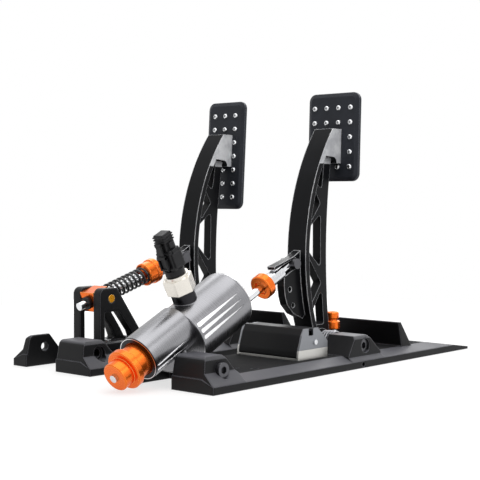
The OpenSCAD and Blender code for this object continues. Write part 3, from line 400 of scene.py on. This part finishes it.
def studFinish(name, x, lean, shift, c):  # plated studs, each with painted shade for the socket recess in its middle
    mat, tree, shader = newFinish(name, (0.86, 0.87, 0.88), 0.2, 0.85)
    swing = Matrix.Rotation(lean, 4, "X")
    middle = Vector((x, *pivot)) + swing @ Vector((0, *c["padAt"]))
    spot = addNode(tree, "TexCoord").outputs["Object"]
    off = addNode(tree, "VectorMath", {0: spot, 1: middle}, operation="SUBTRACT").outputs[0]
    upright = {"Vector": off, "Angle": -lean - c["padLean"]}
    stood = addNode(tree, "VectorRotate", upright, rotation_type="X_AXIS").outputs[0]
    part = addNode(tree, "SeparateXYZ", {0: stood})
    across = calc(tree, "ADD", part.outputs[0], shift + c["clear"] * c["pitch"])
    up = calc(tree, "ADD", part.outputs[2], c["clear"] * c["pitch"] - c["top"])
    steps = [calc(tree, "FRACT", calc(tree, "DIVIDE", value, c["pitch"])) for value in (across, up)]
    offsets = {k: calc(tree, "SUBTRACT", step, 0.5) for k, step in enumerate(steps)}
    nearest = addNode(tree, "CombineXYZ", offsets).outputs[0]
    reach = addNode(tree, "VectorMath", {0: nearest}, operation="LENGTH").outputs["Value"]
    edge = c["socket"] / c["pitch"]
    socket = ramp(tree, reach, edge - 0.01, edge + 0.02, 1.0, 0.0)
    scuff = spotNoise(tree, 900.0, 5.0, 0.7)
    plated = blendColour(tree, scuff, *c["plate"])
    # painted shade: the socket recess in the middle of each stud is painted dark
    colourFrom(tree, shader, blendColour(tree, calc(tree, "MULTIPLY", socket, 0.8), plated, c["paintedSocketShade"]))
    roughFrom(tree, shader, scuff, 0.15, 0.28)
    bumpFrom(tree, shader, scuff, 0.05, 0.0001, roundedNormal(tree, 0.0005))
    return mat


def rodFinish(name, x, slope):  # ground and chromed
    mat, tree, shader = newFinish(name, (0.80, 0.81, 0.83), 0.12, 1.0)
    along, out = axisSpot(tree, x, slope)
    marks = latheMarks(tree, along, out, 3500.0)
    colourFrom(tree, shader, blendColour(tree, marks, (0.72, 0.73, 0.75), (0.86, 0.87, 0.89)))
    roughFrom(tree, shader, marks, 0.08, 0.17)
    bumpFrom(tree, shader, marks, 0.03, 0.00006, roundedNormal(tree, 0.0005))
    return mat


def brushedFinish(name, colour, rough, stretch):  # rolled or brushed sheet
    mat, tree, shader = newFinish(name, colour, rough, 1.0)
    spot = addNode(tree, "TexCoord").outputs["Object"]
    drawn = addNode(tree, "Mapping", {"Vector": spot, "Scale": stretch}).outputs[0]
    lines = spotNoise(tree, 60.0, 6.0, 0.75, drawn)
    colourFrom(tree, shader, blendColour(tree, lines, shade(colour, 0.8), colour))
    roughFrom(tree, shader, lines, rough - 0.06, rough + 0.1, 0.25, 0.75)
    bumpFrom(tree, shader, lines, 0.06, 0.0001, roundedNormal(tree, 0.0004))
    return mat


def mouldedFinish(name, colour, rough, specular=0.5, grainSize=1600.0):  # moulded plastic or rubber
    mat, tree, shader = newFinish(name, colour, rough, 0.0, specular)
    grain = spotNoise(tree, grainSize, 2.0)
    cloud = spotNoise(tree, 80.0)
    pale = tuple(1.7 * k + 0.006 for k in colour)
    tone = blendColour(tree, ramp(tree, cloud, 0.35, 0.75, 0.0, 0.5), colour, pale)
    tone = blendColour(tree, calc(tree, "MULTIPLY", edgeMask(tree, 0.0005), 0.5), tone, pale)
    colourFrom(tree, shader, tone)
    roughFrom(tree, shader, cloud, rough - 0.08, rough + 0.08, 0.25, 0.75)
    bumpFrom(tree, shader, grain, 0.2, 0.0002, roundedNormal(tree, 0.0005))
    return mat


blackCasting = castFinish("blackCasting", castCoat)
# the housing's up-facing faces take the dusty tone, with no painted sheen
blackHousing = castFinish("blackHousing", {**castCoat, "paintedSheen": castCoat["dusty"]})
brakeArmBlack = armFinish("brakeArmBlack", 0.0, armCoat)
throttleArmBlack = armFinish("throttleArmBlack", throttleLean, armCoat)
padBlack = padFinish(padCoat)
barrelGrey = turnedFinish("gunmetalBarrel", brakeX, brakeSlope, barrelUp, 0.0269, 0.0274, 1.0, turned)
sleeveGrey = turnedFinish("gunmetalSleeve", brakeX, brakeSlope, sleeveUp, 0.0194, 0.0199, 0.2158, turned)
spacerGrey = steelFinish("gunmetalSpacer", (0.10, 0.10, 0.11), 0.4)
orangeSleeve = orangeFinish("orangeAdjuster", brakeX, brakeSlope, sleeveUp, orangeDye)
orangeRod = orangeFinish("orangeCollar", brakeX, brakeSlope, 0.0, orangeDye)
orangeCup = orangeFinish("orangeCup", throttleX, throttleSlope, 0.0, orangeDye)
orangeStop = orangeFinish("orangeStop", brakeX, math.pi / 2, 0.0, orangeDye)
orangePin = orangeFinish("orangePin", throttleX, throttleSlope, 0.0, pinDye)
brightSteel = steelFinish("brightSteel", (0.74, 0.75, 0.77), 0.24)
coilSteel = steelFinish("coilSteel", (0.30, 0.30, 0.32), 0.34)
brakeStuds = studFinish("brakeStuds", brakeX, 0.0, 0.0075, studGrid)
throttleStuds = studFinish("throttleStuds", throttleX, throttleLean, 0.0, studGrid)
boltSteel = steelFinish("boltSteel", (0.86, 0.87, 0.88), 0.18)
darkBolt = steelFinish("darkBolt", (0.12, 0.12, 0.13), 0.36)
zincHex = steelFinish("zincHex", (0.86, 0.82, 0.75), 0.26, 2600.0, 0.0008)
rodChrome = rodFinish("rodChrome", brakeX, brakeSlope)
throttleChrome = rodFinish("throttleChrome", throttleX, throttleSlope)
plateAlloy = brushedFinish("plateAlloy", (0.30, 0.31, 0.33), 0.42, (1.0, 1.0, 18.0))
trayAlloy = brushedFinish("trayAlloy", (0.70, 0.69, 0.66), 0.36, (1.0, 14.0, 1.0))
pistonAlloy = steelFinish("pistonAlloy", (0.62, 0.63, 0.65), 0.3)
bushBronze = steelFinish("bushBronze", (0.55, 0.36, 0.16), 0.34)
plugBlack = mouldedFinish("plugBlack", (0.010, 0.010, 0.0115), 0.40, 0.25)
rubberBlack = mouldedFinish("rubberBlack", (0.014, 0.014, 0.014), 0.7, 0.35, 1100.0)
wireBlack = mouldedFinish("wireBlack", (0.012, 0.012, 0.013), 0.3, 0.6, 900.0)
boardGreen = mouldedFinish("boardGreen", (0.015, 0.09, 0.04), 0.32, 0.5, 700.0)

dress(blackCasting, "brake_base", "throttle_base")
dress(blackHousing, "throttle_bracket", "control_housing")
dress(brakeArmBlack, "brake_arm")
dress(throttleArmBlack, "throttle_arm")
dress(padBlack, "brake_pad", "throttle_pad")
dress(barrelGrey, "cylinder_barrel")
dress(sleeveGrey, "elastomer_sleeve")
dress(spacerGrey, "axle_spacers")
dress(orangeSleeve, "preload_ring", "preload_knob")
dress(orangeRod, "rod_collar")
dress(orangeCup, "trunnion_block", "spring_cup")
dress(orangePin, "trunnion_pins")
dress(orangeStop, "stop_bumpers")
dress(brightSteel, "stop_posts", "rod_ferrule", "bracket_screws", "control_screws", "preload_stud",
      "data_socket")
dress(brakeStuds, "brake_pad_studs")
dress(throttleStuds, "throttle_pad_studs")
dress(boltSteel, "brake_pad_bolts", "throttle_pad_bolts")
dress(darkBolt, "cylinder_bolt", "cylinder_bolt_nut", "brake_axle", "throttle_axle", "axle_nuts",
      "rod_cross_barrel", "throttle_fork", "fork_pin")
dress(zincHex, "sensor_body")
dress(rodChrome, "brake_rod")
dress(throttleChrome, "throttle_rod")
dress(plateAlloy, "control_end_plates")
dress(trayAlloy, "control_floor")
dress(pistonAlloy, "master_piston", "slave_piston")
dress(bushBronze, "brake_bushes", "throttle_bushes")
dress(plugBlack, "sensor_connector", "sensor_latch", "throttle_angle_sensor", "block_bush")
dress(boardGreen, "circuit_board")
print("finishes on the solids")


# pieces that stand for soft and wound solids
def newPiece(name, bm, place, mat, body, smooth=True):
    bmesh.ops.remove_doubles(bm, verts=bm.verts, dist=1e-7)
    bmesh.ops.recalc_face_normals(bm, faces=bm.faces)
    mesh = bpy.data.meshes.new(name)
    bm.to_mesh(mesh)
    bm.free()
    mesh.transform(place)
    mesh.materials.append(mat)
    for poly in mesh.polygons:
        poly.use_smooth = smooth
    obj = bpy.data.objects.new(name, mesh)
    scene.collection.objects.link(obj)
    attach(obj, body)
    return obj


def woundWire(c):  # a ring of wire swept round and along, with straight ends
    bm = bmesh.new()
    lay = Matrix.Translation((c["coilR"], 0, c["start"])) @ Matrix.Rotation(math.pi / 2, 4, "X")
    bmesh.ops.create_circle(bm, segments=12, radius=c["wireR"], matrix=lay)
    first = list(bm.edges)
    steps = 40 * c["turns"]
    swept = bmesh.ops.spin(bm, geom=bm.verts[:] + bm.edges[:], cent=(0, 0, 0), axis=(0, 0, 1),
                           dvec=(0, 0, c["pitch"] * c["turns"] / steps), angle=2 * math.pi * c["turns"],
                           steps=steps, use_duplicate=False)
    last = [e for e in swept["geom_last"] if isinstance(e, bmesh.types.BMEdge)]
    for ends, side in ((first, -1), (last, 1)):
        drawn = bmesh.ops.extrude_edge_only(bm, edges=ends)
        moved = [v for v in drawn["geom"] if isinstance(v, bmesh.types.BMVert)]
        bmesh.ops.translate(bm, verts=moved, vec=(0, side * 2 * c["wireR"], 0))
        bmesh.ops.holes_fill(bm, edges=[e for e in drawn["geom"] if isinstance(e, bmesh.types.BMEdge)])
    return bm


throttleCoil = {
    "coilR": 0.00805,
    "wireR": 0.0012,
    "turns": 10,
    "start": 0.0545,
    "length": 0.06269,
    "ends": 0.003,
    "blockEnd": 0.1157,
    "travel": 0.0179,
}
throttleCoil["pitch"] = (throttleCoil["length"] - throttleCoil["ends"]) / throttleCoil["turns"]
spring = newPiece("throttle_coil", woundWire(throttleCoil), onThrottleRod, wireBlack, "throttle_swivel")
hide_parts("throttle_spring")
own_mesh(spring)

returnCoil = {"coilR": 0.0104, "wireR": 0.0012, "turns": 5, "start": 0.0, "pitch": 0.0032, "aside": -0.0305}
axleSpot = (brakeX + returnCoil["aside"], *pivot)
onAxle = Matrix.Translation(axleSpot) @ Matrix.Rotation(math.pi / 2, 4, "Y")
coil = newPiece("return_coil", woundWire(returnCoil), onAxle, coilSteel, "frame")
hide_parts("brake_return_spring")


def spunProfile(points, bm=None):  # closed outline of out, along points turned about local z
    bm = bm or bmesh.new()
    verts = [bm.verts.new((p[0], 0, p[1])) for p in points]
    edges = [bm.edges.new((verts[i - 1], verts[i])) for i in range(len(verts))]
    bmesh.ops.spin(bm, geom=verts + edges, cent=(0, 0, 0), axis=(0, 0, 1), angle=2 * math.pi, steps=64,
                   use_merge=True, use_duplicate=False)
    return bm


def roundLoop(out, along, r, count=20):
    turn = 2 * math.pi / count
    return [(out + r * math.cos(k * turn), along + r * math.sin(k * turn)) for k in range(count)]


sealR = 0.0011
seals = {
    "master_ring": ("master_seal", 0.00895, 0.107, onRod, "brake_push_rod"),
    "slave_ring": ("slave_seal", 0.01195, 0.157, onSleeve, "slave_unit"),
}
for name, (solid, outer, along, place, body) in seals.items():
    section = roundLoop(outer - sealR, along, sealR)
    ring = newPiece(name, spunProfile(section), place, rubberBlack, body)
    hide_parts(solid)

stack = {
    "inner": 0.004,
    "outer": 0.0145,
    "start": 0.1723,
    "end": 0.2077,
    "count": 3,
    "crown": 0.0007,
    "shoulder": 0.0015,
    "joint": 0.0001,
    "travel": 0.0052,
}


def elastomerDiscs(c):  # three soft discs, waisted at their joints
    bm = bmesh.new()
    each = (c["end"] - c["start"]) / c["count"]
    waist = c["outer"] - c["crown"]
    swell = c["outer"] - 0.3 * c["crown"]
    for i in range(c["count"]):
        low = c["start"] + i * each
        high = low + each - c["joint"]
        mid = (low + high) / 2
        spunProfile([(c["inner"], low), (waist, low), (swell, low + c["shoulder"]), (c["outer"], mid),
                     (swell, high - c["shoulder"]), (waist, high), (c["inner"], high)], bm)
    return bm


discs = newPiece("elastomer_discs", elastomerDiscs(stack), onSleeve, rubberBlack, "frame",
                 smooth=False)
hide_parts("elastomer_stack")
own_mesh(discs)

washer = {"inner": 0.0038, "outer": 0.0085, "from": 0.040, "to": 0.041, "round": 0.0003}


def washerOutline(c):
    r = c["round"]
    return [(c["inner"], c["from"]), (c["outer"] - r, c["from"]), (c["outer"], c["from"] + r),
            (c["outer"], c["to"] - r), (c["outer"] - r, c["to"]), (c["inner"], c["to"])]


washerShape = spunProfile(washerOutline(washer))
rodWasher = newPiece("rubber_washer", washerShape, onRod, rubberBlack, "brake_push_rod",
                     smooth=False)
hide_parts("rod_washer")
print("springs, seals and discs made")

# the sensor's plug: keyed body with wings, ribbed upper half, sprung latch in front
plug = {
    "at": 0.1445,
    "collar": [(0, 0.068), (0.0086, 0.068), (0.0090, 0.0684), (0.0090, 0.0736), (0.0086, 0.074), (0, 0.074)],
    "blocks": [
        ((-0.0086, -0.0080, 0.074), (0.0086, 0.0072, 0.0915), 0.0009),
        ((-0.0086, -0.0066, 0.0905), (0.0086, 0.0060, 0.0935), 0.0007),
        ((-0.0058, -0.0062, 0.092), (0.0058, 0.0058, 0.1085), 0.0010),
        ((-0.0080, -0.0030, 0.0945), (0.0080, 0.0026, 0.1000), 0.0006),
    ],
    "wing": ((0.0080, -0.0058, 0.0765), (0.0100, 0.0054, 0.0900), 0.0006),
    "wingTab": ((0.0080, -0.0030, 0.0890), (0.0094, 0.0030, 0.0935), 0.0004),
    "rib": ((-0.0066, -0.0066, 0.0), (0.0066, 0.0064, 0.0012), 0.0003),
    "ribsFrom": 0.1008,
    "ribStep": 0.0024,
    "ribs": 3,
    "key": ((-0.0015, 0.0070, 0.0745), (0.0015, 0.0080, 0.0762), 0.0002),
}
latch = {
    "rail": ((0.0034, 0.0080, 0.0762), (0.0050, 0.0108, 0.0900), 0.0004),
    "bars": [
        ((-0.0050, 0.0080, 0.0760), (0.0050, 0.0104, 0.0780), 0.0004),
        ((-0.0050, 0.0080, 0.0868), (0.0050, 0.0110, 0.0900), 0.0005),
        ((-0.0022, 0.0080, 0.0775), (0.0022, 0.0092, 0.0870), 0.0003),
        ((-0.0035, 0.0080, 0.0895), (0.0035, 0.0095, 0.1010), 0.0005),
        ((-0.0035, 0.0080, 0.0990), (0.0035, 0.0100, 0.1020), 0.0005),
    ],
}


def addBlock(bm, block, turn=1):
    low, high, bevel = Vector(block[0]), Vector(block[1]), block[2]
    size = Matrix.Diagonal((*(high - low), 1))
    middle = (low + high) / 2
    middle.x *= turn
    made = bmesh.ops.create_cube(bm, size=1.0, matrix=Matrix.Translation(middle) @ size)
    edges = list({e for v in made["verts"] for e in v.link_edges})
    bmesh.ops.bevel(bm, geom=edges, offset=bevel, affect="EDGES", segments=2, profile=0.5, material=-1)


def plugBody(c):
    bm = spunProfile(c["collar"])
    for block in c["blocks"] + [c["key"]]:
        addBlock(bm, block)
    for turn in (-1, 1):
        addBlock(bm, c["wing"], turn)
        addBlock(bm, c["wingTab"], turn)
    for k in range(c["ribs"]):
        rise = c["ribsFrom"] + k * c["ribStep"]
        low, high, bevel = c["rib"]
        addBlock(bm, ((low[0], low[1], low[2] + rise), (high[0], high[1], high[2] + rise), bevel))
    return bm


def plugLatch(c):
    bm = bmesh.new()
    for turn in (-1, 1):
        addBlock(bm, c["rail"], turn)
    for bar in c["bars"]:
        addBlock(bm, bar)
    return bm


onSensor = onRod @ Matrix.Translation((0, 0, plug["at"])) @ Matrix.Rotation(math.pi / 2, 4, "X")
plugPiece = newPiece("plug_body", plugBody(plug), onSensor, plugBlack, "frame", smooth=False)
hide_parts("sensor_connector")
latchPiece = newPiece("plug_latch", plugLatch(latch), onSensor, plugBlack, "frame",
                      smooth=False)
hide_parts("sensor_latch")
print("plug made")

# floor, light and white surroundings
studio = {
    "floorSize": 1.3,
    "floorTone": 0.35,
    "lift": (0.70, 1.0),
    "liftFrom": (0.32, 0.62),
    "floorDrop": 0.0003,
    "sky": (0.10, 0.55),
    "skyTo": 0.8,
}
lamps = {
    "keyBox": {"place": (-0.15, 0.15, 1.35), "target": (0, 0, 0), "size": (1.3, 1.3), "power": 8.0},
    "sideBox": {"place": (-1.2, 0.1, 0.7), "target": (0, 0, 0.08), "size": (0.8, 0.8), "power": 4.0},
    "backBox": {"place": (0.45, -1.05, 0.95), "target": (0, 0, 0.02), "size": (1.7, 1.2), "power": 14.0},
}


def showsWhite(tree):  # 1 for rays that should see the plain white surroundings
    path = addNode(tree, "LightPath")
    seen = calc(tree, "ADD", path.outputs["Is Camera Ray"], path.outputs["Is Glossy Ray"])
    return calc(tree, "ADD", seen, path.outputs["Is Transmission Ray"], clamp=True)


def setFloor(c):
    bm = bmesh.new()
    bmesh.ops.create_grid(bm, x_segments=1, y_segments=1, size=c["floorSize"] / 2)
    mesh = bpy.data.meshes.new("floor")
    bm.to_mesh(mesh)
    bm.free()
    mesh.transform(Matrix.Translation((0, 0, -c["floorDrop"])))
    floor = bpy.data.objects.new("floor", mesh)
    scene.collection.objects.link(floor)
    mat = bpy.data.materials.new("paleFloor")
    mat.use_nodes = True
    tree = mat.node_tree
    tree.nodes.clear()
    out = addNode(tree, "OutputMaterial")
    tone = c["floorTone"]
    matte = addNode(tree, "BsdfDiffuse", {"Color": (tone, tone, tone, 1)})
    spot = addNode(tree, "NewGeometry").outputs["Position"]
    away = addNode(tree, "VectorMath", {0: spot}, operation="LENGTH").outputs["Value"]
    lift = ramp(tree, away, *c["liftFrom"], *c["lift"])
    glow = addNode(tree, "Emission", {"Strength": calc(tree, "MULTIPLY", showsWhite(tree), lift)})
    both = addNode(tree, "AddShader", {0: matte.outputs[0], 1: glow.outputs[0]})
    tree.links.new(both.outputs[0], out.inputs["Surface"])
    mesh.materials.append(mat)


def setLight(name, c):
    lamp = bpy.data.lights.new(name, "AREA")
    lamp.shape = "RECTANGLE"
    lamp.size, lamp.size_y = c["size"]
    lamp.energy = c["power"]
    obj = bpy.data.objects.new(name, lamp)
    obj.location = c["place"]
    aim = Vector(c["target"]) - Vector(c["place"])
    obj.rotation_euler = aim.to_track_quat("-Z", "Y").to_euler()
    scene.collection.objects.link(obj)


def setSky(c):
    world = bpy.data.worlds.new("surroundings")
    scene.world = world
    world.use_nodes = True
    tree = world.node_tree
    back = tree.nodes["Background"]
    back.inputs["Color"].default_value = (1, 1, 1, 1)
    rise = addNode(tree, "SeparateXYZ", {0: addNode(tree, "TexCoord").outputs["Generated"]}).outputs[2]
    level = ramp(tree, rise, 0.0, c["skyTo"], *c["sky"])
    tree.links.new(calc(tree, "MAXIMUM", showsWhite(tree), level), back.inputs["Strength"])


setFloor(studio)
setSky(studio)
for name, lamp in lamps.items():
    setLight(name, lamp)
print("studio set")
